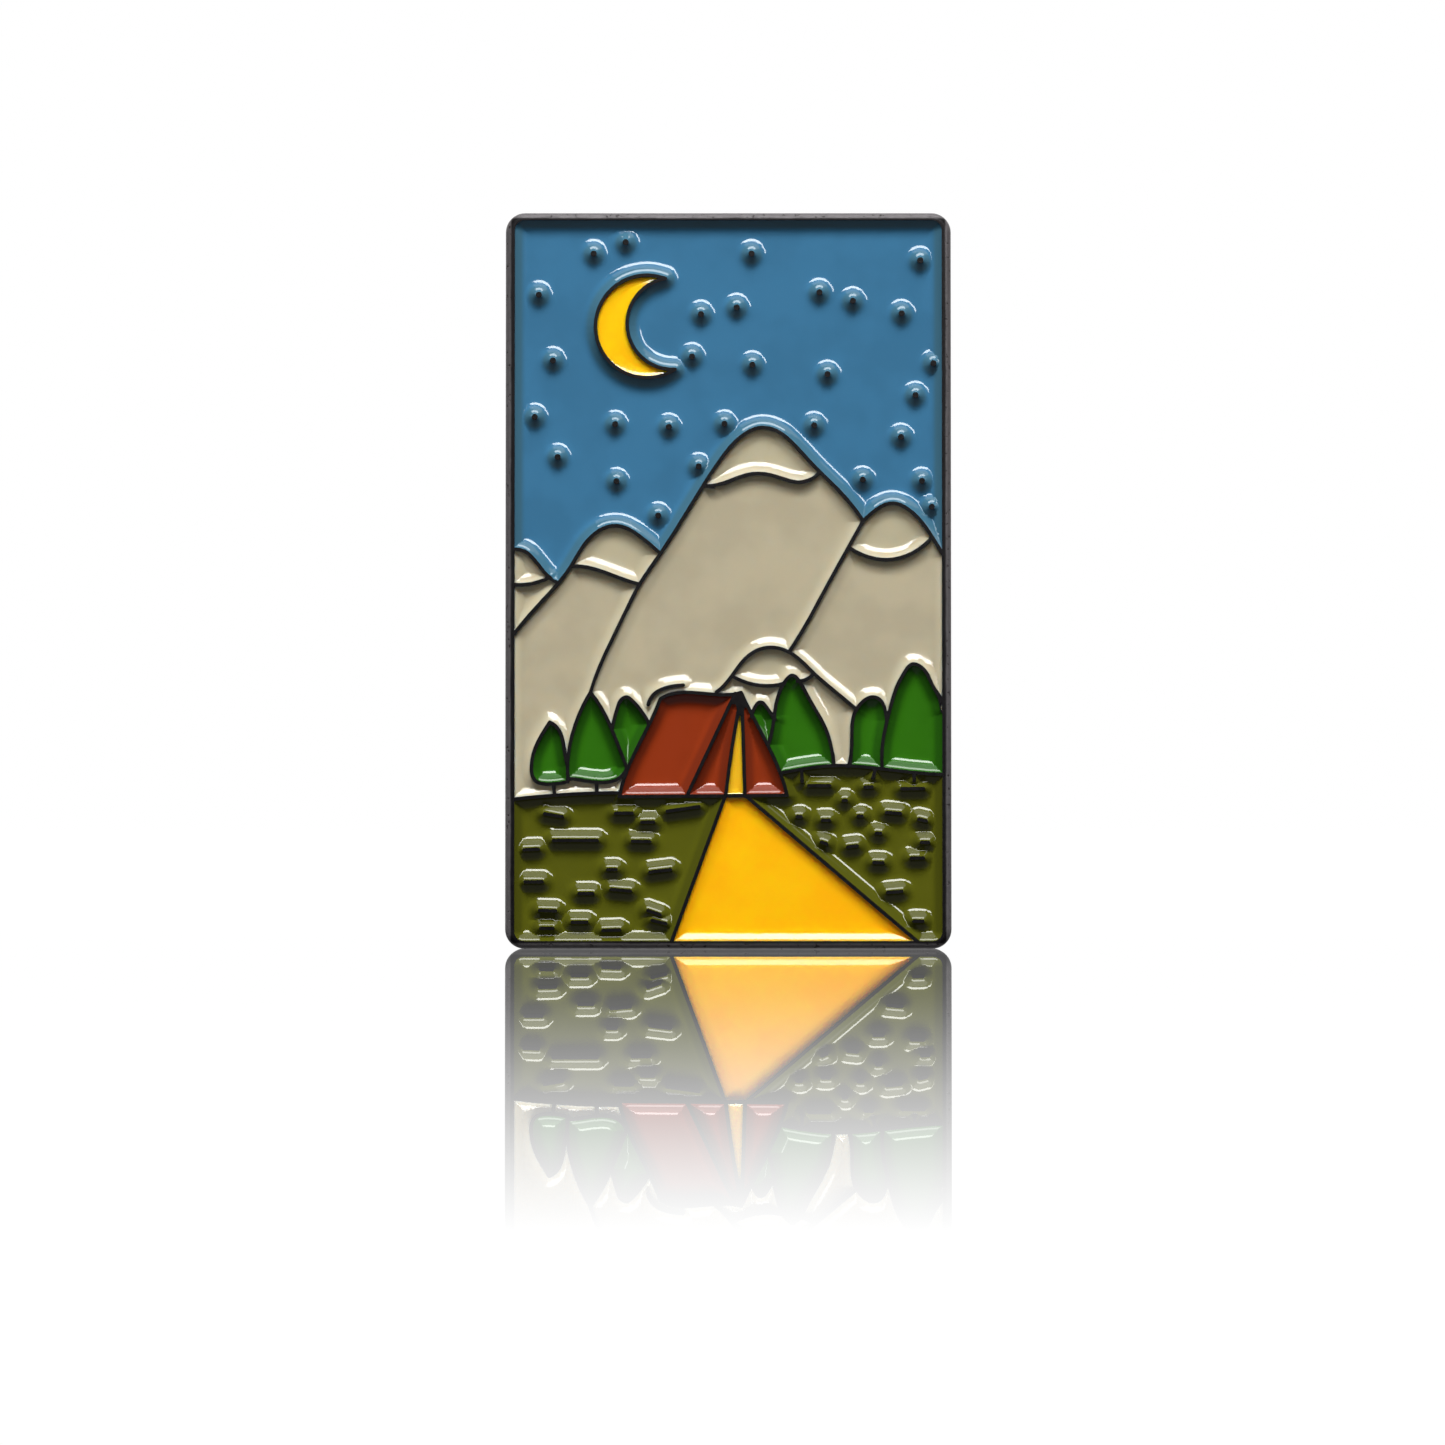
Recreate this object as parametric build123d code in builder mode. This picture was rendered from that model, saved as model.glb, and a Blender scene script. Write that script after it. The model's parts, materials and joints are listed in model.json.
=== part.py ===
from build123d import *
import os

os.makedirs("parts", exist_ok=True)

# Soft-enamel pin with a mountain camp scene, held on by two posts and two butterfly clutches.
# Millimetres. The origin is the centre of the plate's back face, +X is right as seen from
# the front and +Z is up. The picture faces -Y, and the posts stand out towards +Y.

# ---- Plate ------------------------------------------------------------------------------
plate_width = 23.0
plate_height = 38.0
plate_thickness = 1.5
plate_corner_radius = 1.0
front_edge_radius = 0.33
back_edge_radius = 0.12
rim_side_width = 0.48
rim_end_width = 0.40
recess_corner_radius = 0.5
pocket_depth = 0.75
enamel_drop = 0.42  # how far the enamel lies below the tops of the raised lines
line_width = 0.18
star_radius = 0.155

# ---- Posts ------------------------------------------------------------------------------
post_spacing = 20.0
pad_radius = 2.3
pad_sink = 0.1
pad_top = 0.36
solder_radius = 3.0
solder_top = 0.3
post_radius = 0.55
groove_radius = 0.38
lower_groove = (2.6, 3.15)
clutch_groove = (4.3, 4.9)
post_shoulder = 6.6
post_end = 7.5
post_tip_radius = 0.06

# ---- Clutches ---------------------------------------------------------------------------
sheet = 0.3
disc_bottom = 3.6
disc_top = 4.0
disc_radius = 5.75
disc_hole_radius = 0.62
hem_top = 4.6
hem_inner_radius = 5.1
nib_circle_radius = 3.4
nib_radius = 0.45
nib_height = 0.3
flange_radius = 5.38
dome_length = 6.0
dome_width = 5.4
dome_corner_radius = 1.1
dome_edge_radius = 0.9
dome_top = 8.05
window_bottom = 4.3
window_top = 6.9
window_width = 4.1
wing_sheet = 0.4
jaw_height = 4.6
jaw_gap = 0.12
jaw_notch_radius = 0.58
pivot_x = 1.9
pivot_y = 5.4
knuckle_radius = 0.34
trunnion_radius = 0.3
trunnion_hole_radius = 0.34
trunnion_end = 2.66
arm_width = 3.6
tab_width = 5.8
tab_start = 3.1
tab_end = (6.0, 8.6)
spring_sheet = 0.18
spring_width = 2.8
spring_hole_radius = 0.75

outward = (0, 1, 0)  # away from the plate's back, along the posts


# ---- Picture ----------------------------------------------------------------------------
# Every coordinate pair is (x, z) from the centre of the plate.

# Raised lines that curve smoothly through their points
curved_lines = [
    # far mountain at the left: ridge, snow line
    [(-11.2, 1.55), (-10.5, 1.48), (-9.78, 0.78), (-8.78, -0.13)],
    [(-11.2, -0.2), (-10.45, -0.24), (-9.6, -0.03), (-9.2, 0.15)],
    # left mountain: ridge, snow line
    [(-11.2, -2.95), (-9.87, -1.38), (-8.12, 0.7), (-7.03, 2.28), (-5.8, 2.81), (-4.7, 2.36), (-3.5, 1.37)],
    [(-8.1, 0.72), (-6.8, 0.54), (-5.5, 0.07), (-4.57, -0.22)],
    # main mountain: ridge, snow line
    [
        (-7.1, -5.8), (-6.43, -4.0), (-5.53, -2.13), (-4.62, -0.3), (-3.5, 1.37), (-1.87, 3.95), (-0.2, 6.5),
        (0.8, 7.52), (1.95, 7.88), (2.85, 7.48), (4.2, 6.12), (5.87, 4.45), (6.95, 3.05),
    ],
    [(-1.28, 4.87), (-0.2, 5.02), (1.03, 5.45), (2.2, 5.42), (3.5, 5.06), (4.66, 5.52)],
    # right mountain: ridge, left slope, snow line
    [(6.95, 3.05), (7.6, 3.62), (8.45, 3.97), (9.3, 3.64), (10.2, 2.7), (11.2, 1.15)],
    [(6.95, 3.05), (6.2, 1.7), (5.2, -0.1), (4.33, -1.72), (3.12, -3.71)],
    [(6.2, 1.7), (7.1, 1.23), (8.3, 1.05), (9.5, 1.4), (10.5, 2.22)],
    # front mountain: ridge, snow line left and right of the middle tree
    [(-0.62, -5.78), (0.14, -5.0), (0.95, -3.98), (1.9, -3.5), (3.12, -3.71), (4.4, -4.81), (5.44, -5.7), (6.62, -6.68)],
    [(0.18, -4.95), (0.8, -5.24), (2.0, -5.46), (2.9, -5.32)],
    [(3.55, -5.22), (4.0, -5.13), (4.4, -4.83)],
    # hill behind the tent
    [(-4.13, -6.43), (-3.78, -5.84), (-3.2, -5.55), (-2.32, -5.42)],
    # tree 1
    [(-9.2, -7.33), (-9.77, -8.27), (-10.13, -9.45), (-9.95, -10.33), (-9.2, -10.52), (-8.25, -10.38)],
    [(-9.2, -7.33), (-8.75, -7.7), (-8.47, -8.6), (-8.3, -9.5)],
    # tree 2
    [(-7.1, -5.8), (-7.57, -6.67), (-7.97, -7.73), (-8.25, -9.1), (-8.25, -10.25)],
    [(-8.27, -10.24), (-7.43, -10.33), (-6.6, -10.43), (-5.75, -10.28), (-5.22, -9.65)],
    [(-5.22, -9.65), (-5.77, -8.27), (-6.4, -6.85), (-7.1, -5.8)],
    # tree 3
    [(-5.98, -7.6), (-5.78, -6.8), (-5.33, -6.03), (-4.75, -6.42), (-4.1, -7.42)],
    # tent: left edge, top edge, right edge, left side of the opening
    [(-3.5, -6.12), (-4.29, -7.86), (-5.21, -9.79), (-5.6, -11.15)],
    [(-3.5, -6.12), (-3.0, -5.9), (-1.5, -5.83), (0.66, -5.8)],
    [(0.66, -5.8), (1.25, -7.0), (2.0, -8.45), (2.75, -10.15), (3.02, -11.1)],
    [(0.5, -6.8), (0.21, -8.5), (-0.14, -11.15)],
    # trees 4 to 7
    [(1.2, -7.05), (1.36, -6.57), (1.66, -6.29), (1.93, -6.5), (2.4, -7.15)],
    [(2.03, -8.5), (2.36, -7.05), (2.63, -5.8), (3.27, -4.92), (4.07, -5.95), (4.93, -7.48), (5.43, -9.58)],
    [(6.17, -9.62), (6.36, -8.05), (6.69, -6.52), (7.26, -6.07), (8.17, -7.3)],
    [(7.93, -9.74), (7.92, -8.7), (8.36, -6.52), (8.93, -5.0), (9.61, -4.3), (10.3, -4.97), (11.2, -6.85)],
    # edge of the grass left and right of the tent
    [(-11.2, -11.32), (-8.97, -11.1), (-5.6, -10.97)],
    [(2.68, -9.95), (4.0, -9.71), (5.4, -9.57), (7.9, -9.73), (11.2, -10.02)],
]

# Straight raised lines
straight_lines = [
    # tent: ground edge, edge between roof and front, right side of the opening
    [(-5.62, -11.17), (3.02, -11.1)],
    [(0.35, -5.85), (-2.15, -11.15)],
    [(0.72, -6.7), (0.86, -11.14)],
    # tree trunks
    [(-9.01, -10.5), (-8.95, -11.1)],
    [(-6.8, -10.4), (-6.77, -11.0)],
    [(3.77, -9.8), (3.8, -10.38)],
    [(7.55, -9.8), (7.46, -10.2)],
    [(9.57, -9.95), (9.57, -10.35)],
    # edges of the path
    [(-0.17, -11.15), (-2.99, -18.8)],
    [(0.9, -11.12), (10.0, -18.85)],
]

# Short dashes that stand in the grass
grass_dashes = [
    [(-9.45, -12.05), (-8.55, -12.2)],
    [(-5.8, -12.02), (-4.95, -12.02)],
    [(-4.45, -12.48), (-3.85, -12.47)],
    [(-3.15, -11.92), (-1.52, -11.68)],
    [(-9.0, -13.42), (-6.75, -13.42)],
    [(-4.93, -13.46), (-4.05, -13.48)],
    [(-10.5, -13.9), (-9.78, -13.87)],
    [(-6.2, -14.92), (-5.78, -14.92)],
    [(-4.03, -15.05), (-2.98, -14.92)],
    [(-10.45, -15.55), (-9.58, -15.55)],
    [(-7.68, -16.15), (-6.98, -16.15)],
    [(-6.03, -15.94), (-5.05, -16.02)],
    [(-9.7, -17.02), (-8.9, -17.04)],
    [(-4.13, -17.03), (-3.52, -17.24)],
    [(-3.92, -17.53), (-3.22, -17.7)],
    [(-8.03, -17.63), (-7.29, -17.63)],
    [(-9.65, -17.94), (-9.04, -17.94)],
    [(-6.45, -18.05), (-5.6, -18.02)],
    [(4.15, -10.6), (5.2, -10.6)],
    [(7.04, -10.68), (7.4, -10.67)],
    [(8.93, -10.76), (10.05, -10.75)],
    [(5.92, -11.36), (6.06, -11.36)],
    [(3.54, -12.2), (3.74, -12.2)],
    [(4.84, -12.38), (5.19, -12.38)],
    [(6.69, -12.17), (6.88, -12.17)],
    [(8.15, -11.98), (8.85, -12.04)],
    [(9.82, -12.33), (10.18, -12.42)],
    [(7.62, -13.04), (7.83, -13.06)],
    [(4.8, -13.5), (5.05, -13.6)],
    [(6.15, -13.75), (6.62, -13.7)],
    [(9.95, -13.52), (10.3, -13.53)],
    [(7.5, -14.56), (7.95, -14.57)],
    [(9.42, -14.33), (10.03, -14.32)],
    [(8.2, -16.1), (8.92, -16.04)],
    [(9.54, -17.57), (10.0, -17.58)],
]

# Round dots that are the stars
stars = [
    (-9.78, 14.74), (-6.95, 16.87), (-5.3, 17.47), (-9.05, 11.34), (-9.99, 8.42), (-5.84, 8.05),
    (-3.07, 7.91), (-1.41, 13.74), (-1.87, 11.55), (-0.2, 8.07), (1.2, 16.87), (0.43, 14.09),
    (4.7, 14.87), (6.43, 14.43), (8.95, 13.78), (9.91, 16.53), (10.58, 11.2), (1.24, 11.12),
    (5.12, 10.64), (9.66, 9.55), (4.43, 7.99), (-8.8, 6.35), (-5.77, 5.1), (-1.53, 5.87),
    (-3.62, 3.33), (8.91, 7.39), (6.93, 5.18), (9.99, 5.12), (10.49, 3.78),
]

# Crescent moon: its two tips, the far point of its round back and of its hollow side
moon_upper_tip = (-3.25, 15.58)
moon_lower_tip = (-2.75, 10.88)
moon_back = (-6.86, 13.1)
moon_hollow = (-5.22, 13.1)

# Solid metal where the seams of the tent's front run together
tent_peak = [
    (0.3, -5.85), (0.68, -5.85), (1.0, -6.5), (0.84, -6.6), (0.68, -7.0), (0.5, -7.0), (0.38, -6.4), (0.08, -6.4),
]

# One point inside each enamelled pocket
enamel_seeds = {
    "sky_enamel": (-8.0, 12.5),
    "moon_enamel": (-6.05, 13.1),
    "snow_far_left_enamel": (-10.4, 0.5),
    "snow_left_enamel": (-6.3, 1.6),
    "snow_main_enamel": (1.5, 6.6),
    "snow_right_enamel": (8.5, 2.6),
    "snow_front_enamel": (1.6, -4.4),
    "slope_far_left_enamel": (-10.4, -1.2),
    "slope_left_enamel": (-8.0, -3.0),
    "slope_main_enamel": (1.0, 0.0),
    "slope_right_enamel": (8.0, -2.0),
    "slope_front_left_enamel": (1.35, -5.9),
    "slope_front_right_enamel": (5.3, -7.2),
    "ground_gap_left_enamel": (-7.8, -10.68),
    "ground_gap_right_enamel": (-6.1, -10.7),
    "tree_1_enamel": (-9.3, -9.3),
    "tree_2_enamel": (-7.0, -8.5),
    "tree_3_enamel": (-5.3, -7.3),
    "tree_4_enamel": (1.75, -7.2),
    "tree_5_enamel": (3.6, -7.8),
    "tree_6_enamel": (7.1, -8.2),
    "tree_7_enamel": (9.6, -7.8),
    "tent_roof_enamel": (-2.5, -8.5),
    "tent_flap_left_enamel": (-0.5, -9.5),
    "tent_opening_enamel": (0.45, -9.8),
    "tent_flap_right_enamel": (1.5, -9.5),
    "path_enamel": (3.0, -16.0),
    "grass_left_enamel": (-8.5, -14.4),
    "grass_right_enamel": (8.7, -15.2),
}


def smooth_line(points):
    """Draws the outline of a raised line that runs smoothly through its points, with round ends."""
    centre = Edge.make_spline([Vector(*point) for point in points])
    steps = 2 * len(points)
    stations = [step / steps for step in range(steps + 1)]
    across = [(centre % station).rotate(Axis.Z, 90) * line_width / 2 for station in stations]
    left = [centre @ station + shift for station, shift in zip(stations, across)]
    right = [centre @ station - shift for station, shift in zip(stations, across)]
    start = centre % 0
    end = centre % 1
    Spline(*left, tangents=[start, end])
    ThreePointArc(left[-1], centre @ 1 + end * line_width / 2, right[-1])
    Spline(*reversed(right), tangents=[-end, -start])
    ThreePointArc(right[0], centre @ 0 - start * line_width / 2, left[0])


with BuildSketch() as raised_lines:
    for points in curved_lines:
        with BuildLine():
            smooth_line(points)
        make_face()
    for ends in straight_lines + grass_dashes:
        with BuildLine():
            Line(*ends)
            offset(amount=line_width / 2)
        make_face()
    for far_point in (moon_back, moon_hollow):
        with BuildLine():
            ThreePointArc(moon_upper_tip, far_point, moon_lower_tip)
            offset(amount=line_width / 2)
        make_face()
    with BuildLine():
        Polyline(*tent_peak, close=True)
    make_face()
    with Locations(*stars):
        Circle(star_radius)

with BuildSketch() as cells:
    RectangleRounded(
        plate_width - 2 * rim_side_width,
        plate_height - 2 * rim_end_width,
        recess_corner_radius,
    )
    add(raised_lines.sketch, mode=Mode.SUBTRACT)


def cell_at(seed):
    """The flat outline of the pocket that holds the point."""
    return cells.sketch.faces().sort_by_distance((*seed, 0))[0]


# ---- Plate and enamel -------------------------------------------------------------------
front_plane = Plane.XZ.offset(plate_thickness)
enamel_plane = Plane.XZ.offset(plate_thickness - enamel_drop)
post_heights = {"upper": post_spacing / 2, "lower": -post_spacing / 2}


def save(piece, name):
    """Labels a finished piece and writes it."""
    piece.part.label = name
    export_step(piece.part, f"parts/{name}.step")


with BuildPart() as base_plate:
    with BuildSketch(Plane.XZ):
        RectangleRounded(plate_width, plate_height, plate_corner_radius)
    extrude(amount=plate_thickness)
    fillet(base_plate.faces().sort_by(Axis.Y)[0].edges(), front_edge_radius)
    fillet(base_plate.faces().sort_by(Axis.Y)[-1].edges(), back_edge_radius)
    # the shallow seats that the posts are soldered into
    with BuildSketch(Plane.XZ):
        with Locations(*[(0, height) for height in post_heights.values()]):
            Circle(solder_radius)
    extrude(amount=pad_sink, mode=Mode.SUBTRACT)
    # one pocket for each field of enamel
    with BuildSketch(front_plane):
        add([cell_at(seed) for seed in enamel_seeds.values()])
    extrude(amount=-pocket_depth, mode=Mode.SUBTRACT)
save(base_plate, "base_plate")

for enamel_name, seed in enamel_seeds.items():
    with BuildPart() as enamel:
        with BuildSketch(enamel_plane):
            add(cell_at(seed))
        extrude(amount=enamel_drop - pocket_depth)
    save(enamel, enamel_name)


# ---- Posts and clutches -----------------------------------------------------------------
def section_plane(height):
    """Plane through a post's axis: its x runs out along the post and its y is the radius."""
    return Plane(origin=(0, 0, height), x_dir=outward, z_dir=(1, 0, 0))


def cross_plane(height, distance):
    """Plane square to a post, at a distance from the plate's back, with x and y as X and Z."""
    return Plane(origin=(0, distance, height), x_dir=(1, 0, 0), z_dir=(0, -1, 0))


def post_axis(height):
    return Axis((0, 0, height), outward)


def build_post(height):
    """Round pad with a grooved and pointed shank."""
    with BuildPart() as post:
        with BuildSketch(section_plane(height)):
            with BuildLine():
                Polyline(
                    (-pad_sink, 0),
                    (-pad_sink, pad_radius),
                    (pad_top, pad_radius),
                    (pad_top, post_radius),
                    (lower_groove[0], post_radius),
                    (lower_groove[0], groove_radius),
                    (lower_groove[1], groove_radius),
                    (lower_groove[1], post_radius),
                    (clutch_groove[0], post_radius),
                    (clutch_groove[0], groove_radius),
                    (clutch_groove[1], groove_radius),
                    (clutch_groove[1], post_radius),
                    (post_shoulder, post_radius),
                    (post_end, post_tip_radius),
                    (post_end, 0),
                    close=True,
                )
            make_face()
        revolve(axis=post_axis(height))
        pad_rim = post.edges().filter_by(GeomType.CIRCLE).sort_by(SortBy.RADIUS)[-2:]
        chamfer(pad_rim.sort_by(Axis.Y)[-1], 0.06)
    return post


def build_solder(height):
    """Hollow-faced ring of solder round the pad."""
    with BuildPart() as solder:
        with BuildSketch(section_plane(height)):
            with BuildLine():
                Line((-pad_sink, pad_radius), (-pad_sink, solder_radius))
                Line((-pad_sink, solder_radius), (0, solder_radius))
                ThreePointArc((0, solder_radius), (0.12, pad_radius + 0.3), (solder_top, pad_radius))
                Line((solder_top, pad_radius), (-pad_sink, pad_radius))
            make_face()
        revolve(axis=post_axis(height))
    return solder


def build_clutch_base(height):
    """Disc with a rolled hem and four nibs that grip the cloth."""
    bend = 0.3
    flange_top = disc_top + sheet
    with BuildPart() as clutch_base:
        with BuildSketch(section_plane(height)):
            with BuildLine():
                Line((disc_top, disc_hole_radius), (disc_bottom + 0.2, disc_hole_radius))
                Line((disc_bottom + 0.2, disc_hole_radius), (disc_bottom, disc_hole_radius + 0.2))
                Line((disc_bottom, disc_hole_radius + 0.2), (disc_bottom, disc_radius - bend))
                RadiusArc((disc_bottom, disc_radius - bend), (disc_bottom + bend, disc_radius), bend)
                Line((disc_bottom + bend, disc_radius), (hem_top - bend, disc_radius))
                RadiusArc((hem_top - bend, disc_radius), (hem_top, disc_radius - bend), bend)
                Polyline(
                    (hem_top, disc_radius - bend),
                    (hem_top, hem_inner_radius),
                    (flange_top, hem_inner_radius),
                    (flange_top, flange_radius + 0.02),
                    (disc_top, flange_radius + 0.02),
                    (disc_top, disc_hole_radius),
                )
            make_face()
        revolve(axis=post_axis(height))
        with BuildSketch(cross_plane(height, disc_bottom + 0.05)):
            with PolarLocations(nib_circle_radius, 4, start_angle=45):
                Circle(nib_radius)
        extrude(amount=nib_height + 0.05, taper=35)
    return clutch_base


def build_clutch_cap(height):
    """Domed cover on a flat flange, with a window at each side for the wings."""
    with BuildPart() as cap:
        with BuildSketch(cross_plane(height, disc_top)):
            RectangleRounded(dome_length, dome_width, dome_corner_radius)
        extrude(amount=dome_top - disc_top, dir=outward)
        fillet(cap.faces().sort_by(Axis.Y)[-1].edges(), dome_edge_radius)
        offset(amount=-sheet, openings=cap.faces().sort_by(Axis.Y)[0])
        with BuildSketch(cross_plane(height, disc_top)):
            Circle(flange_radius)
            RectangleRounded(
                dome_length - 2 * sheet,
                dome_width - 2 * sheet,
                dome_corner_radius - sheet,
                mode=Mode.SUBTRACT,
            )
        extrude(amount=sheet, dir=outward)
        with BuildSketch(section_plane(height)):
            with Locations(((window_bottom + window_top) / 2, 0)):
                RectangleRounded(window_top - window_bottom, window_width, 0.5)
        extrude(amount=dome_length, both=True, mode=Mode.SUBTRACT)
        with BuildSketch(Plane.XY.offset(height)):
            with Locations((-pivot_x, pivot_y), (pivot_x, pivot_y)):
                Circle(trunnion_hole_radius)
        extrude(amount=dome_width, both=True, mode=Mode.SUBTRACT)
    return cap


def build_clutch_spring(height):
    """Bowed leaf under the dome's roof: its feet press on the wings."""
    crown = dome_top - sheet - spring_sheet / 2
    with BuildPart() as spring:
        with BuildSketch(Plane.XY.offset(height)):
            with BuildLine():
                FilletPolyline(
                    (-2.3, 5.97), (-2.25, 6.9), (-1.3, crown), (1.3, crown), (2.25, 6.9), (2.3, 5.97),
                    radius=0.45,
                )
                offset(amount=spring_sheet / 2)
            make_face()
        extrude(amount=spring_width / 2, both=True)
        with BuildSketch(cross_plane(height, dome_top)):
            Circle(spring_hole_radius)
        extrude(amount=1.0, mode=Mode.SUBTRACT)
    return spring


def build_wing(height, side):
    """Lever whose jaw grips the post and whose pad is pinched; side is -1 for left, 1 for right."""
    path = [
        (jaw_gap + wing_sheet / 2, jaw_height),
        (pivot_x - 0.75, jaw_height),
        (pivot_x, pivot_y),
        (tab_start, pivot_y),
        tab_end,
    ]
    with BuildPart() as wing:
        with BuildSketch(Plane.XY.offset(height)):
            with BuildLine():
                FilletPolyline(*[(side * x, y) for x, y in path], radius=0.3)
                offset(amount=wing_sheet / 2)
            make_face()
            with Locations((side * pivot_x, pivot_y)):
                Circle(knuckle_radius)
            # grip ribs across the pad
            for along in (0.62, 0.74, 0.86):
                rib_x = tab_start + along * (tab_end[0] - tab_start) + 0.14
                rib_y = pivot_y + along * (tab_end[1] - pivot_y) - 0.13
                with Locations((side * rib_x, rib_y)):
                    Circle(0.13)
        extrude(amount=tab_width / 2, both=True)
        with BuildSketch(cross_plane(height, 0)):
            with Locations((side * (tab_start / 2 + 0.2), 0)):
                Rectangle(tab_start + 0.6, arm_width)
            with Locations((side * (tab_start + 1.85), 0)):
                RectangleRounded(3.1, tab_width, 1.3)
            Circle(jaw_notch_radius, mode=Mode.SUBTRACT)
        extrude(amount=-2 * tab_end[1], mode=Mode.INTERSECT)
        with BuildSketch(Plane.XY.offset(height)):
            with Locations((side * pivot_x, pivot_y)):
                Circle(trunnion_radius)
        extrude(amount=trunnion_end, both=True)
    return wing


for place, height in post_heights.items():
    save(build_post(height), f"{place}_post")
    save(build_solder(height), f"{place}_solder")
    save(build_clutch_base(height), f"{place}_clutch_base")
    save(build_clutch_cap(height), f"{place}_clutch_cap")
    save(build_clutch_spring(height), f"{place}_clutch_spring")
    save(build_wing(height, -1), f"{place}_wing_left")
    save(build_wing(height, 1), f"{place}_wing_right")
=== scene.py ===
import json
import math
from typing import NamedTuple

import bpy
import numpy as np
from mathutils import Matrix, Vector, kdtree
from mathutils.geometry import delaunay_2d_cdt


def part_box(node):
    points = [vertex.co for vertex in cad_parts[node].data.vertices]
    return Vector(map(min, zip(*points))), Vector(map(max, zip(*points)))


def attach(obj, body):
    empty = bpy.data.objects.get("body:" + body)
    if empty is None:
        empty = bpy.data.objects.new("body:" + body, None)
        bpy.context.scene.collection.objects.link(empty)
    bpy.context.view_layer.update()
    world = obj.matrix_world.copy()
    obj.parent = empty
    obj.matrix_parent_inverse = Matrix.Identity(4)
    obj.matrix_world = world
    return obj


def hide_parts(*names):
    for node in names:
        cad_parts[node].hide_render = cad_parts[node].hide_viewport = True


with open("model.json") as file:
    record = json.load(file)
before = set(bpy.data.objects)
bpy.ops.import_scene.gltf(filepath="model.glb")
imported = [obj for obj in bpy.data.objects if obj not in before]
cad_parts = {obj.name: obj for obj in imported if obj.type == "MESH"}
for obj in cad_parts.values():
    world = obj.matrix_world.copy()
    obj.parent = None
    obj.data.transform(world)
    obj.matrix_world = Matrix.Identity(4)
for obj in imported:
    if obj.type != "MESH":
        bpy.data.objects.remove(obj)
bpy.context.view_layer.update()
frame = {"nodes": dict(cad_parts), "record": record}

nodes = frame["nodes"]
scene = bpy.context.scene
MM = 0.001

# Millimetres here, until a mesh is written in metres. The picture faces -Y and +Z is up.
plate_low, plate_high = (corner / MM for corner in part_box("base_plate"))
line_top = plate_low.y
enamel_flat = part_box("sky_enamel")[0].y / MM
pocket_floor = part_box("sky_enamel")[1].y / MM
floor_height = plate_low.z


# ---- Node materials -----------------------------------------------------------------------
def linear(red, green, blue):
    """A colour given as 0-255 display values, as Blender's linear RGBA."""
    channels = [channel / 255 for channel in (red, green, blue)]
    return (*[c / 12.92 if c <= 0.04045 else ((c + 0.055) / 1.055) ** 2.4 for c in channels], 1)


class Surface:
    """A Principled material, with short calls for the nodes that vary it over the piece."""

    def __init__(self, name, **constants):
        self.material = bpy.data.materials.new(name)
        self.material.use_nodes = True
        self.tree = self.material.node_tree
        self.shader = self.tree.nodes["Principled BSDF"]
        self.place = self.node("ShaderNodeTexCoord").outputs["Object"]
        for socket, value in constants.items():
            self.shader.inputs[socket.replace("_", " ")].default_value = value

    def node(self, kind, inputs=(), **settings):
        """A node whose inputs are numbers, colours or other nodes' outputs."""
        made = self.tree.nodes.new(kind)
        for setting, value in settings.items():
            setattr(made, setting, value)
        for socket, value in dict(inputs).items():
            if isinstance(value, bpy.types.NodeSocket):
                self.tree.links.new(value, made.inputs[socket])
            else:
                made.inputs[socket].default_value = value
        return made

    def noise(self, size, detail=3.0, roughness=0.5, place=None):
        """Noise from 0 to 1, with features of about this size in millimetres."""
        inputs = {
            "Vector": place or self.place,
            "Scale": 1 / (size * MM),
            "Detail": detail,
            "Roughness": roughness,
        }
        return self.node("ShaderNodeTexNoise", inputs).outputs["Fac"]

    def calc(self, operation, first, second=0.0, clamp=False):
        """One step of arithmetic on numbers or node outputs."""
        inputs = {0: first, 1: second}
        made = self.node("ShaderNodeMath", inputs, operation=operation, use_clamp=clamp)
        return made.outputs[0]

    def remap(self, value, low, high, new_low=0.0, new_high=1.0):
        """The value taken smoothly from one range to another, and held at its ends."""
        inputs = {
            "Value": value,
            "From Min": low,
            "From Max": high,
            "To Min": new_low,
            "To Max": new_high,
        }
        made = self.node("ShaderNodeMapRange", inputs, interpolation_type="SMOOTHSTEP")
        return made.outputs["Result"]

    def mix(self, amount, first, second):
        """Two colours mixed by an amount from 0 to 1."""
        inputs = {0: amount, 6: first, 7: second}
        return self.node("ShaderNodeMix", inputs, data_type="RGBA").outputs[2]

    def axis(self, letter):
        """One coordinate of the place on the piece, in metres."""
        return self.node("ShaderNodeSeparateXYZ", {"Vector": self.place}).outputs[letter]

    def stretched(self, along_x, along_y, along_z):
        """The place, stretched so that a noise on it draws streaks."""
        inputs = {"Vector": self.place, "Scale": (along_x, along_y, along_z)}
        return self.node("ShaderNodeMapping", inputs).outputs["Vector"]

    def bump(self, height, depth, normal=None):
        """A bump of this depth in millimetres, on top of an earlier one."""
        inputs = {"Height": height, "Distance": depth * MM, "Strength": 1.0}
        if normal:
            inputs["Normal"] = normal
        return self.node("ShaderNodeBump", inputs).outputs["Normal"]

    def finish(self, colour, roughness, normal):
        """The material, with these node outputs driving its shader."""
        driven = {"Base Color": colour, "Roughness": roughness, "Normal": normal}
        for socket, output in driven.items():
            self.tree.links.new(output, self.shader.inputs[socket])
        return self.material


painted_shade_heights = (0.02, 0.16)  # mm above the flat: where the painted shade colour starts, and is full
glow_spread = (1.0, 0.8, 0.6)  # how far red, green and blue light go, as shares of the glow
worn_edge = (0.22, 0.34)  # mm from the outline: where the wear is full, and where it ends
back_rub = (-0.05, -0.01)  # mm along Y: where the rubbed back starts, and is full


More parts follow.
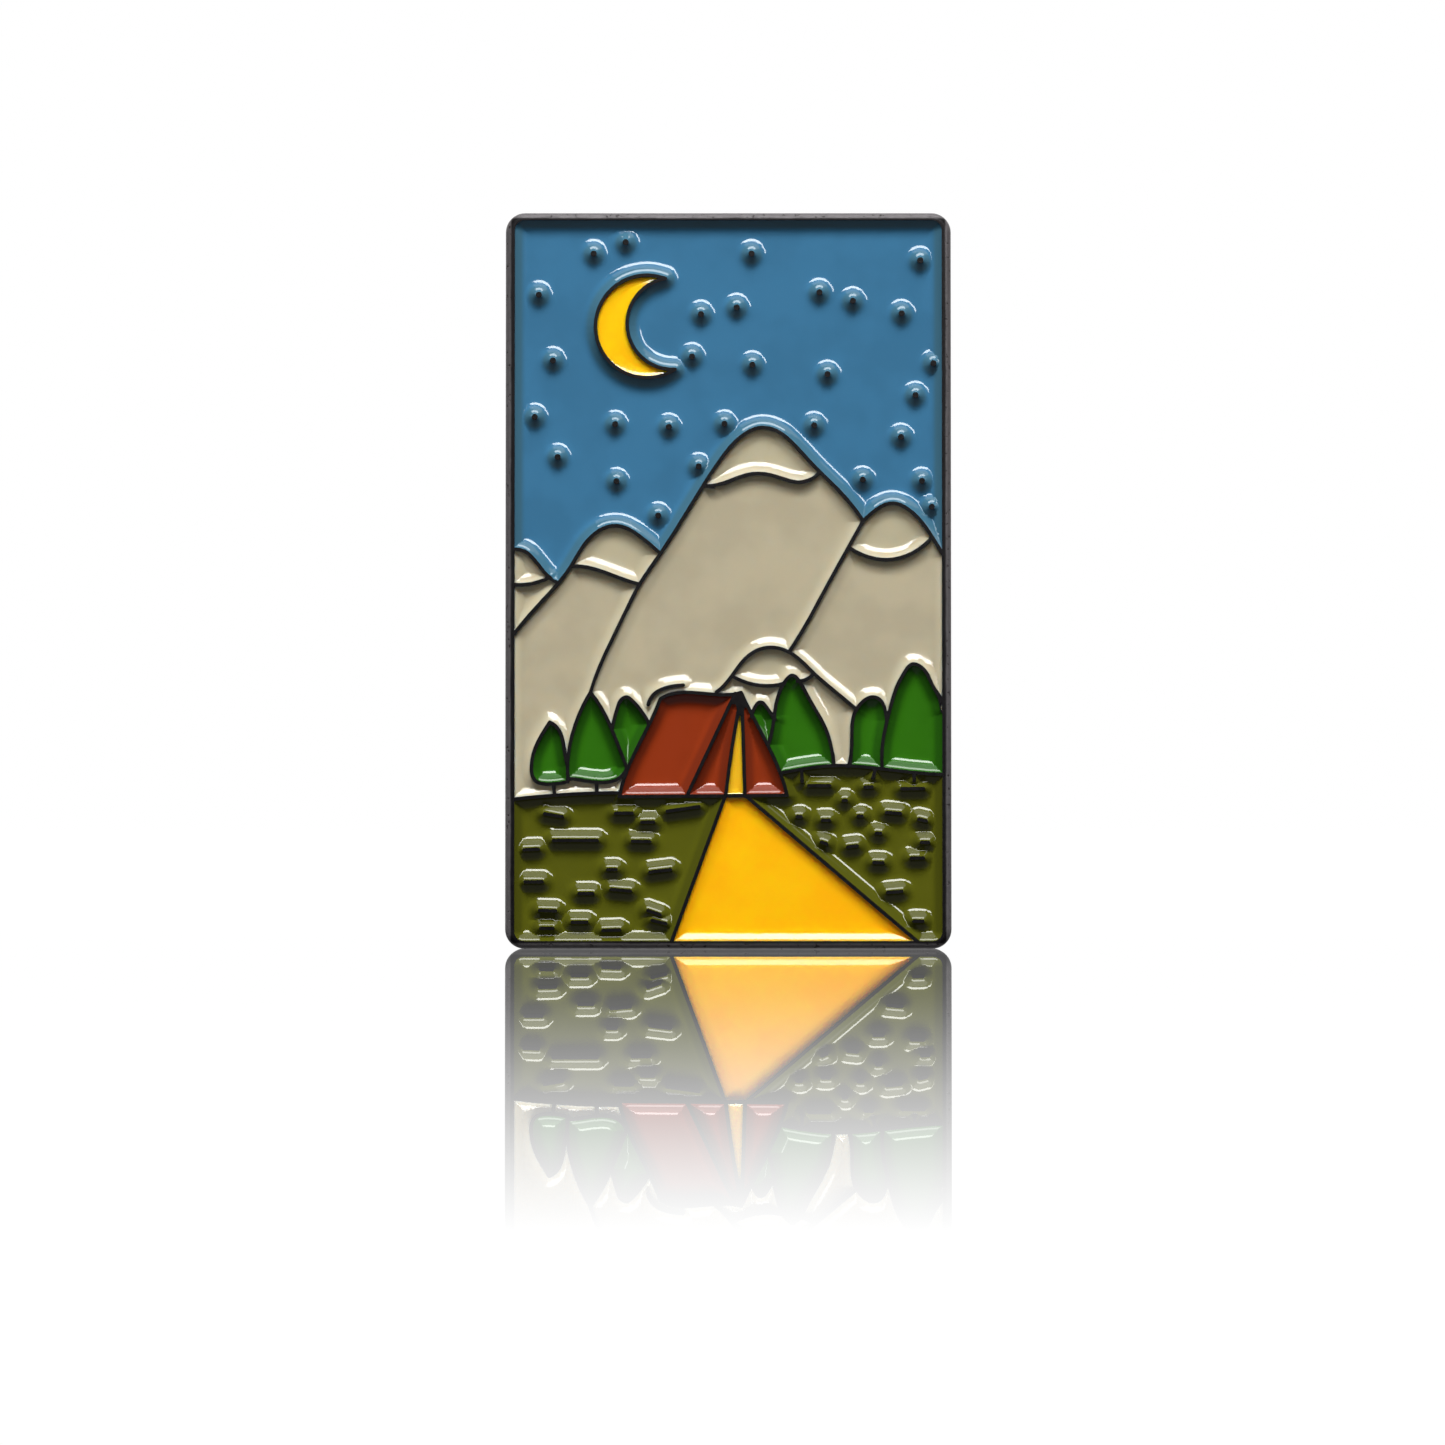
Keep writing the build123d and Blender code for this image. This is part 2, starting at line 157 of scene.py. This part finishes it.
class Paste(NamedTuple):
    """One colour of enamel. Lengths are in millimetres."""

    colour: tuple
    painted_shade_colour: tuple  # painted shade, laid where it climbs the walls
    climb: float = 1.0  # its share of the full climb
    lift: float = 0.0  # how far its flat lies above the blue's
    glow: float = 0.0  # how far light spreads inside it


def enamel_material(name, paste):
    """Baked soft enamel: glossy, faintly cloudy, and painted with a shade colour where it climbs a
    wall.
    """
    made = Surface(name, IOR=1.5, Subsurface_Weight=1.0 if paste.glow else 0.0)
    made.shader.inputs["Subsurface Radius"].default_value = glow_spread
    made.shader.inputs["Subsurface Scale"].default_value = paste.glow * MM
    colour, painted_shade_colour = linear(*paste.colour), linear(*paste.painted_shade_colour)
    starts, full = ((enamel_flat - paste.lift - height) * MM for height in painted_shade_heights)
    painted_shade_mask = made.remap(made.axis("Y"), starts, full)
    cloud = made.noise(2.6, detail=2.0)
    speck = made.noise(0.07, detail=1.0)
    pale = tuple(min(1.0, channel * 1.1) for channel in colour)
    tint = made.mix(made.remap(cloud, 0.35, 0.65), colour, pale)
    # painted shade: the climb up each wall is mixed toward the shade colour by its height
    tint = made.mix(painted_shade_mask, tint, painted_shade_colour)
    tint = made.mix(made.remap(speck, 0.55, 0.8, 0.0, 0.10), tint, painted_shade_colour)
    roughness = made.remap(made.noise(1.1), 0.3, 0.7, 0.05, 0.09)
    normal = made.bump(made.noise(0.9, detail=1.0), 0.0016)
    return made.finish(tint, roughness, normal)


def black_metal_material():
    """Black-dyed zinc: worn grey and nicked round its outer edge, and rubbed at the back."""
    made = Surface("black_dyed_metal", Metallic=0.3, Specular_IOR_Level=0.15)
    x = made.calc("ABSOLUTE", made.axis("X"))
    z = made.calc("ABSOLUTE", made.axis("Z"))
    inset_x = made.calc("SUBTRACT", plate_high.x * MM, x)
    inset_z = made.calc("SUBTRACT", plate_high.z * MM, z)
    inset = made.calc("MINIMUM", inset_x, inset_z)
    ragged = made.remap(made.noise(1.5), 0.2, 0.8, -0.02 * MM, 0.02 * MM)
    inset = made.calc("ADD", inset, ragged)
    edge = made.remap(inset, worn_edge[1] * MM, worn_edge[0] * MM)
    grain = made.noise(0.09, detail=2.0)
    nick = made.remap(made.noise(0.22, detail=4.0), 0.60, 0.70)
    nick = made.calc("MULTIPLY", nick, edge)
    dyed = made.mix(grain, linear(8, 7, 8), linear(17, 15, 17))
    back = made.remap(made.axis("Y"), back_rub[0] * MM, back_rub[1] * MM)
    rub = made.remap(made.noise(5.0, detail=4.0, roughness=0.6), 0.42, 0.72, 0.0, 0.45)
    scratch = made.noise(0.5, detail=5.0, roughness=0.7, place=made.stretched(1.0, 1.0, 0.08))
    scratch = made.remap(scratch, 0.60, 0.74)
    rubbed = made.calc("ADD", rub, made.calc("MULTIPLY", scratch, 0.8), clamp=True)
    rubbed = made.calc("MULTIPLY", rubbed, back)
    dyed = made.mix(rubbed, dyed, linear(42, 40, 42))
    worn = made.mix(made.noise(0.35), linear(80, 77, 79), linear(96, 93, 94))
    tint = made.mix(edge, dyed, worn)
    tint = made.mix(nick, tint, linear(48, 43, 44))
    roughness = made.remap(made.noise(0.4), 0.3, 0.7, 0.36, 0.5)
    roughness = made.calc("SUBTRACT", roughness, made.calc("MULTIPLY", rubbed, 0.1))
    normal = made.bump(grain, 0.004)
    normal = made.bump(nick, -0.02, normal=normal)
    return made.finish(tint, roughness, normal)


def nickel_material():
    """Bright nickel on stamped sheet: fine random scuffs and a few dull patches."""
    made = Surface("bright_nickel", Metallic=1.0)
    scuff = made.noise(0.25, detail=5.0, roughness=0.7, place=made.stretched(1.0, 1.0, 0.12))
    patch = made.noise(1.6)
    tint = made.mix(made.remap(patch, 0.35, 0.7), linear(206, 203, 197), linear(184, 180, 173))
    tint = made.mix(made.remap(scuff, 0.62, 0.78, 0.0, 0.5), tint, linear(150, 146, 140))
    roughness = made.remap(scuff, 0.3, 0.8, 0.14, 0.34)
    normal = made.bump(scuff, 0.003)
    return made.finish(tint, roughness, normal)


def post_material():
    """Nickel-plated brass rod, turned, so its marks run round it."""
    made = Surface("turned_post", Metallic=1.0)
    rings = made.noise(0.5, detail=4.0, place=made.stretched(0.15, 9.0, 0.15))
    tint = made.mix(made.remap(rings, 0.35, 0.7), linear(205, 201, 190), linear(166, 160, 150))
    roughness = made.remap(rings, 0.3, 0.7, 0.2, 0.38)
    return made.finish(tint, roughness, made.bump(rings, 0.006))


def solder_material():
    """Soft solder: dull and rippled, darker in its hollows."""
    made = Surface("soft_solder", Metallic=1.0)
    ripple = made.noise(0.7, detail=3.0)
    tint = made.mix(made.remap(ripple, 0.3, 0.7), linear(120, 119, 118), linear(176, 175, 172))
    roughness = made.remap(made.noise(0.3), 0.3, 0.7, 0.3, 0.55)
    return made.finish(tint, roughness, made.bump(ripple, 0.05))


def spring_material():
    """Tempered spring strip, brushed along its length."""
    made = Surface("spring_strip", Metallic=1.0)
    brush = made.noise(0.3, detail=5.0, place=made.stretched(0.08, 1.0, 3.0))
    tint = made.mix(made.remap(brush, 0.3, 0.7), linear(150, 148, 144), linear(190, 187, 180))
    roughness = made.remap(brush, 0.3, 0.7, 0.2, 0.4)
    return made.finish(tint, roughness, made.bump(brush, 0.003))


# The pale pastes are thick and milky: they fill higher, climb less and shade less.
# each paste's second colour is the painted shade laid where it climbs the walls
pastes = {
    "blue_enamel": Paste((53, 103, 136), (58, 98, 118)),
    "moon_enamel": Paste((255, 188, 16), (255, 160, 9), climb=0.19, lift=0.22, glow=0.3),
    "snow_enamel": Paste((175, 167, 142), (190, 180, 155), climb=0.55, lift=0.10, glow=0.4),
    "slope_enamel": Paste((176, 167, 143), (193, 184, 158), climb=0.5, lift=0.10, glow=0.4),
    "tree_enamel": Paste((41, 97, 12), (33, 82, 12)),
    "tent_enamel": Paste((130, 46, 17), (112, 40, 18)),
    "opening_enamel": Paste((233, 184, 36), (226, 167, 26), climb=0.25, lift=0.15, glow=0.3),
    "path_enamel": Paste((255, 184, 13), (255, 170, 10), climb=0.5, lift=0.14, glow=0.3),
    "grass_enamel": Paste((78, 80, 14), (70, 72, 14)),
}
enamels = {slot: enamel_material(slot, paste) for slot, paste in pastes.items()}
metals = {
    "black_metal": black_metal_material(),
    "clutch_nickel": nickel_material(),
    "post_metal": post_material(),
    "solder": solder_material(),
    "spring_steel": spring_material(),
}

# ---- Enamel fills -------------------------------------------------------------------------
# Enamel shrinks as it bakes, so each field is a flat pool with an even slope up to every
# wall, star and dash round it, and a short steep foot at the metal.
slope_width = 0.50  # from a wall to the middle of the bend onto the flat
bend_width = 0.10
foot_height = 0.05
foot_reach = 0.12
wall_gap = 0.05  # how far below the line tops the enamel stops
wall_step = 0.06  # the most between points along a wall
wall_rings = (0.03, 0.07, 0.12)  # rows of points that follow the walls
open_bands = ((0.16, 0.95, 0.08), (0.95, 99.0, 0.36))  # from, to, point spacing
group_size = 500  # points tested at once, to spare memory
flat_tolerance = 1e-3
touching = 1e-6  # nearer than this, a point is on the wall itself
full_climb = enamel_flat - line_top - wall_gap
bend_rise = bend_width * math.log1p(math.exp(slope_width / bend_width))
even_slope = (full_climb - foot_height) / bend_rise


def climb(gaps):
    """How high the enamel stands this far from a wall, and how steeply it falls away."""
    bend = np.exp((slope_width - gaps) / bend_width)
    foot = foot_height * np.exp(-gaps / foot_reach)
    height = even_slope * bend_width * np.log1p(bend) + foot
    return height, even_slope * bend / (1 + bend) + foot / foot_reach


def top_loops(node):
    """The closed outlines of a CAD enamel's flat top, as arrays of (x, z)."""
    mesh = nodes[node].data
    places = np.empty(len(mesh.vertices) * 3)
    mesh.vertices.foreach_get("co", places)
    unique, index = np.unique(np.round(places.reshape(-1, 3) / MM, 5), axis=0, return_inverse=True)
    mesh.calc_loop_triangles()
    corners = np.empty(len(mesh.loop_triangles) * 3, int)
    mesh.loop_triangles.foreach_get("vertices", corners)
    triangles = index.reshape(-1)[corners].reshape(-1, 3)
    heights = unique[triangles][:, :, 1]
    triangles = triangles[(np.abs(heights - enamel_flat) < flat_tolerance).all(1)]
    edges = np.concatenate([triangles[:, [0, 1]], triangles[:, [1, 2]], triangles[:, [2, 0]]])
    edges = edges[edges[:, 0] != edges[:, 1]]
    _, first, count = np.unique(np.sort(edges, 1), axis=0, return_index=True, return_counts=True)
    follows = dict(edges[first[count == 1]])
    loops = []
    while follows:
        start, point = follows.popitem()
        loop = [start]
        while point != start:
            loop.append(point)
            point = follows.pop(point)
        loops.append(unique[loop][:, [0, 2]])
    return loops


def divided(loop, step):
    """The loop with points added along its longer edges."""
    points = []
    for start, end in zip(loop, np.roll(loop, -1, 0)):
        count = max(1, math.ceil(np.linalg.norm(end - start) / step))
        points += [start + (end - start) * i / count for i in range(count)]
    return np.array(points)


def lattice(loops, spacing):
    """The points of a triangular lattice that lie inside the loops."""
    starts = np.concatenate(loops)
    ends = np.concatenate([np.roll(loop, -1, 0) for loop in loops])
    low, high = starts.min(0), starts.max(0)
    rows = []
    for number, height in enumerate(np.arange(low[1], high[1], spacing * math.sqrt(0.75))):
        crossed = (starts[:, 1] <= height) != (ends[:, 1] <= height)
        a, b = starts[crossed], ends[crossed]
        walls = np.sort(a[:, 0] + (height - a[:, 1]) / (b[:, 1] - a[:, 1]) * (b[:, 0] - a[:, 0]))
        across = np.arange(low[0] + number % 2 * spacing / 2, high[0], spacing)
        across = across[np.searchsorted(walls, across) % 2 == 1]
        rows.append(np.stack([across, np.full(len(across), height)], 1))
    return np.concatenate(rows)


class Walls:
    """The loops round a pool, for measuring how far points are from them."""

    def __init__(self, loops):
        self.points = np.concatenate(loops)
        self.before = np.concatenate([np.roll(loop, 1, 0) for loop in loops])
        self.after = np.concatenate([np.roll(loop, -1, 0) for loop in loops])
        run = self.after - self.before
        self.inward = np.stack([-run[:, 1], run[:, 0]], 1)
        self.inward /= np.linalg.norm(self.inward, axis=1)[:, None]
        self.tree = kdtree.KDTree(len(self.points))
        for number, (x, z) in enumerate(self.points):
            self.tree.insert((x, z, 0), number)
        self.tree.balance()

    def nearest(self, points):
        """How far these points are from the nearest wall, and which way leads away from it."""
        near = np.array([self.tree.find((x, z, 0))[1] for x, z in points], int)
        gaps = np.full(len(points), np.inf)
        away = self.inward[near]
        for ends in (self.before[near], self.after[near]):
            run = ends - self.points[near]
            share = ((points - self.points[near]) * run).sum(1) / (run * run).sum(1)
            offset = points - self.points[near] - share.clip(0, 1)[:, None] * run
            gap = np.linalg.norm(offset, axis=1)
            closer = (gap < gaps) & (gap > touching)
            away[closer] = offset[closer] / gap[closer, None]
            gaps = np.minimum(gaps, gap)
        return gaps, away

    def ring(self, inset):
        """The points of a row at this distance from the walls, less any that meet another wall."""
        points = self.points + inset * self.inward
        return points[self.nearest(points)[0] > 0.9 * inset]


def inside(loops, points):
    """Which points lie inside the loops."""
    starts = np.concatenate(loops)
    ends = np.concatenate([np.roll(loop, -1, 0) for loop in loops])
    found = []
    for group in np.array_split(points, len(points) // group_size + 1):
        x, z = group[:, :1], group[:, 1:]
        crossed = (starts[:, 1] <= z) != (ends[:, 1] <= z)
        with np.errstate(divide="ignore", invalid="ignore"):
            along = (z - starts[:, 1]) / (ends[:, 1] - starts[:, 1])
            walls = starts[:, 0] + along * (ends[:, 0] - starts[:, 0])
        found.append((crossed & (walls < x)).sum(1) % 2 == 1)
    return np.concatenate(found)


def pool_points(loops, walls):
    """Points inside the loops, dense near the walls and sparse in the open."""
    rings = np.concatenate([walls.ring(inset) for inset in wall_rings])
    kept = [rings[inside(loops, rings)]]
    for near, far, spacing in open_bands:
        points = lattice(loops, spacing)
        gaps, _ = walls.nearest(points)
        kept.append(points[(gaps >= near) & (gaps < far)])
    return np.concatenate(kept)


def triangulated(loops, inner):
    """The loops' points, then the inner ones, and the triangles that fill the loops."""
    edges = []
    for loop in loops:
        first = len(edges)
        edges += [(first + i, first + (i + 1) % len(loop)) for i in range(len(loop))]
    wall_count = len(edges)
    points = np.concatenate([*loops, inner])
    made = delaunay_2d_cdt([Vector(point) for point in points], edges, [], 0, 1e-9, False)
    triangles = np.array(made[2])
    # only a triangle with all its corners on the walls can lie outside
    doubtful = np.flatnonzero((triangles < wall_count).all(1))
    middles = points[triangles[doubtful]].mean(1)
    outside = doubtful[~inside(loops, middles)]
    return points, np.delete(triangles, outside, 0)


def pour(node, body, slot):
    """The enamel of one field: a closed mesh in place of its flat CAD stand-in."""
    loops = [divided(loop, wall_step) for loop in top_loops(node)]
    walls = Walls(loops)
    points, triangles = triangulated(loops, pool_points(loops, walls))
    gaps, away = walls.nearest(points)
    paste = pastes[slot]
    height, fall = (paste.climb * part for part in climb(gaps))
    top = np.stack([points[:, 0], enamel_flat - paste.lift - height, points[:, 1]], 1)
    normals = np.stack([fall * away[:, 0], -np.ones(len(points)), fall * away[:, 1]], 1)
    normals /= np.linalg.norm(normals, axis=1)[:, None]
    base_points, base_triangles = triangulated(loops, np.empty((0, 2)))
    base = np.insert(base_points, 1, pocket_floor, 1)
    faces = [*triangles.tolist(), *(base_triangles[:, ::-1] + len(top)).tolist()]
    first = 0
    for loop in loops:
        ring = first + np.arange(len(loop))
        after = np.roll(ring, -1)
        faces += np.stack([ring, ring + len(top), after + len(top), after], 1).tolist()
        first += len(loop)
    mesh = bpy.data.meshes.new(node + "_fill")
    mesh.from_pydata((np.concatenate([top, base]) * MM).tolist(), [], faces)
    mesh.polygons.foreach_set("use_smooth", np.arange(len(faces)) < len(triangles))
    mesh.materials.append(enamels[slot])
    corner_normals = np.zeros((len(mesh.loops), 3))
    corner_normals[: triangles.size] = normals[triangles.ravel()]
    mesh.normals_split_custom_set(corner_normals.tolist())
    mesh.update()
    piece = bpy.data.objects.new(node + "_fill", mesh)
    scene.collection.objects.link(piece)
    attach(piece, body)
    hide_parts(node)


slot_of = {part["node"]: part["material_slot"] for part in frame["record"]["subparts"]}
body_of = {
    node: body
    for body, members in frame["record"]["behaviour"]["bodies"].items()
    for node in members
}
for node, slot in slot_of.items():
    if slot in enamels:
        pour(node, body_of[node], slot)
    else:
        nodes[node].material_slots[0].material = metals[slot]

# ---- Floor, surroundings and lights -------------------------------------------------------
floor_half_width = 3.0  # metres
floor_white = 1.02  # its own light, so that it meets the white behind it without a seam
floor_shine = 0.92
floor_polish_ahead = 153  # how far the polish reaches towards the camera
floor_polish_falloff = 3.4
floor_polish_behind = (20, 100)  # from full polish to none
front_glow = 0.04  # how bright the studio in front of the pin is, in its gloss
front_to_back = (-0.05, 0.12)  # the directions, along Y, between which it brightens
sky_rise = (-0.35, 0.55)  # the directions, along Z, between which it brightens upwards
sky_glow = (0.6, 1.2)
strip_distance = 300


def floor():
    """A pale floor that mirrors the pin, and whose polish fades ahead of it and behind it."""
    made = Surface("pale_floor")
    out = made.tree.nodes["Material Output"]
    forward = made.axis("Y")
    reach = made.calc("DIVIDE", forward, -floor_polish_ahead * MM, clamp=True)
    worn = made.calc("POWER", reach, floor_polish_falloff)
    ahead = made.calc("SUBTRACT", 1.0, worn, clamp=True)
    polished, plain = (distance * MM for distance in floor_polish_behind)
    behind = made.remap(forward, plain, polished)
    shine = made.calc("MULTIPLY", made.calc("MINIMUM", ahead, behind), floor_shine)
    glossy = made.node("ShaderNodeBsdfGlossy", {"Color": (1, 1, 1, 1), "Roughness": 0.0})
    white = made.node("ShaderNodeEmission", {"Color": (1, 1, 1, 1), "Strength": floor_white})
    mixed = made.node("ShaderNodeMixShader", {0: shine, 1: white.outputs[0], 2: glossy.outputs[0]})
    made.tree.links.new(mixed.outputs[0], out.inputs["Surface"])
    half = floor_half_width
    mesh = bpy.data.meshes.new("floor")
    corners = [(-half, -half), (half, -half), (half, half), (-half, half)]
    mesh.from_pydata([(x, y, floor_height * MM) for x, y in corners], [], [(0, 1, 2, 3)])
    mesh.materials.append(made.material)
    piece = bpy.data.objects.new("floor", mesh)
    piece.visible_diffuse = False
    piece.visible_glossy = False
    scene.collection.objects.link(piece)


def surroundings():
    """White to the eye. In the gloss, dim in front of the pin, and behind it graded upwards."""
    world = bpy.data.worlds.new("studio")
    world.use_nodes = True
    tree = world.node_tree
    background = tree.nodes["Background"]
    background.inputs["Color"].default_value = (1, 1, 1, 1)
    place = tree.nodes.new("ShaderNodeTexCoord").outputs["Generated"]
    parts = tree.nodes.new("ShaderNodeSeparateXYZ")
    tree.links.new(place, parts.inputs[0])

    def remap(value, low, high, new_low, new_high):
        ramp = tree.nodes.new("ShaderNodeMapRange")
        ramp.interpolation_type = "SMOOTHSTEP"
        for number, setting in enumerate((low, high, new_low, new_high), 1):
            ramp.inputs[number].default_value = setting
        tree.links.new(value, ramp.inputs["Value"])
        return ramp.outputs["Result"]

    def combine(operation, first, second):
        made = tree.nodes.new("ShaderNodeMath")
        made.operation = operation
        tree.links.new(first, made.inputs[0])
        tree.links.new(second, made.inputs[1])
        return made.outputs[0]

    behind = remap(parts.outputs["Y"], *front_to_back, front_glow, 1.0)
    sky = remap(parts.outputs["Z"], *sky_rise, *sky_glow)
    path = tree.nodes.new("ShaderNodeLightPath")
    seen = combine("MAXIMUM", path.outputs["Is Camera Ray"], path.outputs["Is Singular Ray"])
    strength = combine("MULTIPLY", behind, sky)
    mixed = tree.nodes.new("ShaderNodeMix")
    tree.links.new(seen, mixed.inputs["Factor"])
    tree.links.new(strength, mixed.inputs["A"])
    mixed.inputs["B"].default_value = 1.0
    tree.links.new(mixed.outputs["Result"], background.inputs["Strength"])
    scene.world = world


def softbox(name, place, size, radiance, diffuse=True, glossy=True):
    """A rectangular light at a place, facing the pin, all in millimetres."""
    light = bpy.data.lights.new(name, "AREA")
    light.shape = "RECTANGLE"
    light.size, light.size_y = size[0] * MM, size[1] * MM
    light.energy = radiance * math.pi * light.size * light.size_y
    lamp = bpy.data.objects.new(name, light)
    lamp.location = Vector(place) * MM
    lamp.rotation_euler = Vector(place).to_track_quat("Z", "Y").to_euler()
    lamp.visible_diffuse = diffuse
    lamp.visible_glossy = glossy
    lamp.visible_camera = False
    scene.collection.objects.link(lamp)


def gloss_strip(name, tilt, turn, length, width, radiance):
    """A light seen only in gloss, tilted up from the front and turned clockwise from up."""
    tilt, turn = math.radians(tilt), math.radians(turn)
    across = math.sin(tilt) * math.sin(turn)
    up = math.sin(tilt) * math.cos(turn)
    place = Vector((across, -math.cos(tilt), up)) * strip_distance
    softbox(name, place, (length, width), radiance, diffuse=False)


floor()
surroundings()
softbox("key", place=(20, -320, 512), size=(400, 220), radiance=28, glossy=False)
softbox("fill", place=(-60, -260, 40), size=(200, 200), radiance=1.0, glossy=False)
# in the gloss: the arcs round every dot, the sheen inside them, the lit foot of each slope,
# and a glimmer from below
gloss_strip("arc_upper", tilt=32, turn=5, length=150, width=90, radiance=17)
gloss_strip("arc_right", tilt=32, turn=47, length=50, width=90, radiance=15)
gloss_strip("tint", tilt=60, turn=8, length=360, width=130, radiance=1.5)
gloss_strip("foot", tilt=78, turn=0, length=340, width=50, radiance=9)
gloss_strip("low", tilt=62, turn=180, length=500, width=200, radiance=0.14)

# ---- Camera -------------------------------------------------------------------------------
camera_distance = 220
camera_place = (-0.3, -12.5)  # across and up
camera_pitch = 1.35
frame_width = 74.9  # what the camera takes in at the pin
sensor_width = 36
camera = bpy.data.objects.new("camera", bpy.data.cameras.new("camera"))
camera.location = Vector((camera_place[0], -camera_distance, camera_place[1])) * MM
camera.rotation_euler = (math.radians(90 + camera_pitch), 0, 0)
camera.data.sensor_width = sensor_width
camera.data.lens = sensor_width * camera_distance / frame_width
camera.data.clip_start = 0.005
scene.collection.objects.link(camera)
scene.camera = camera
scene.view_settings.view_transform = "Standard"
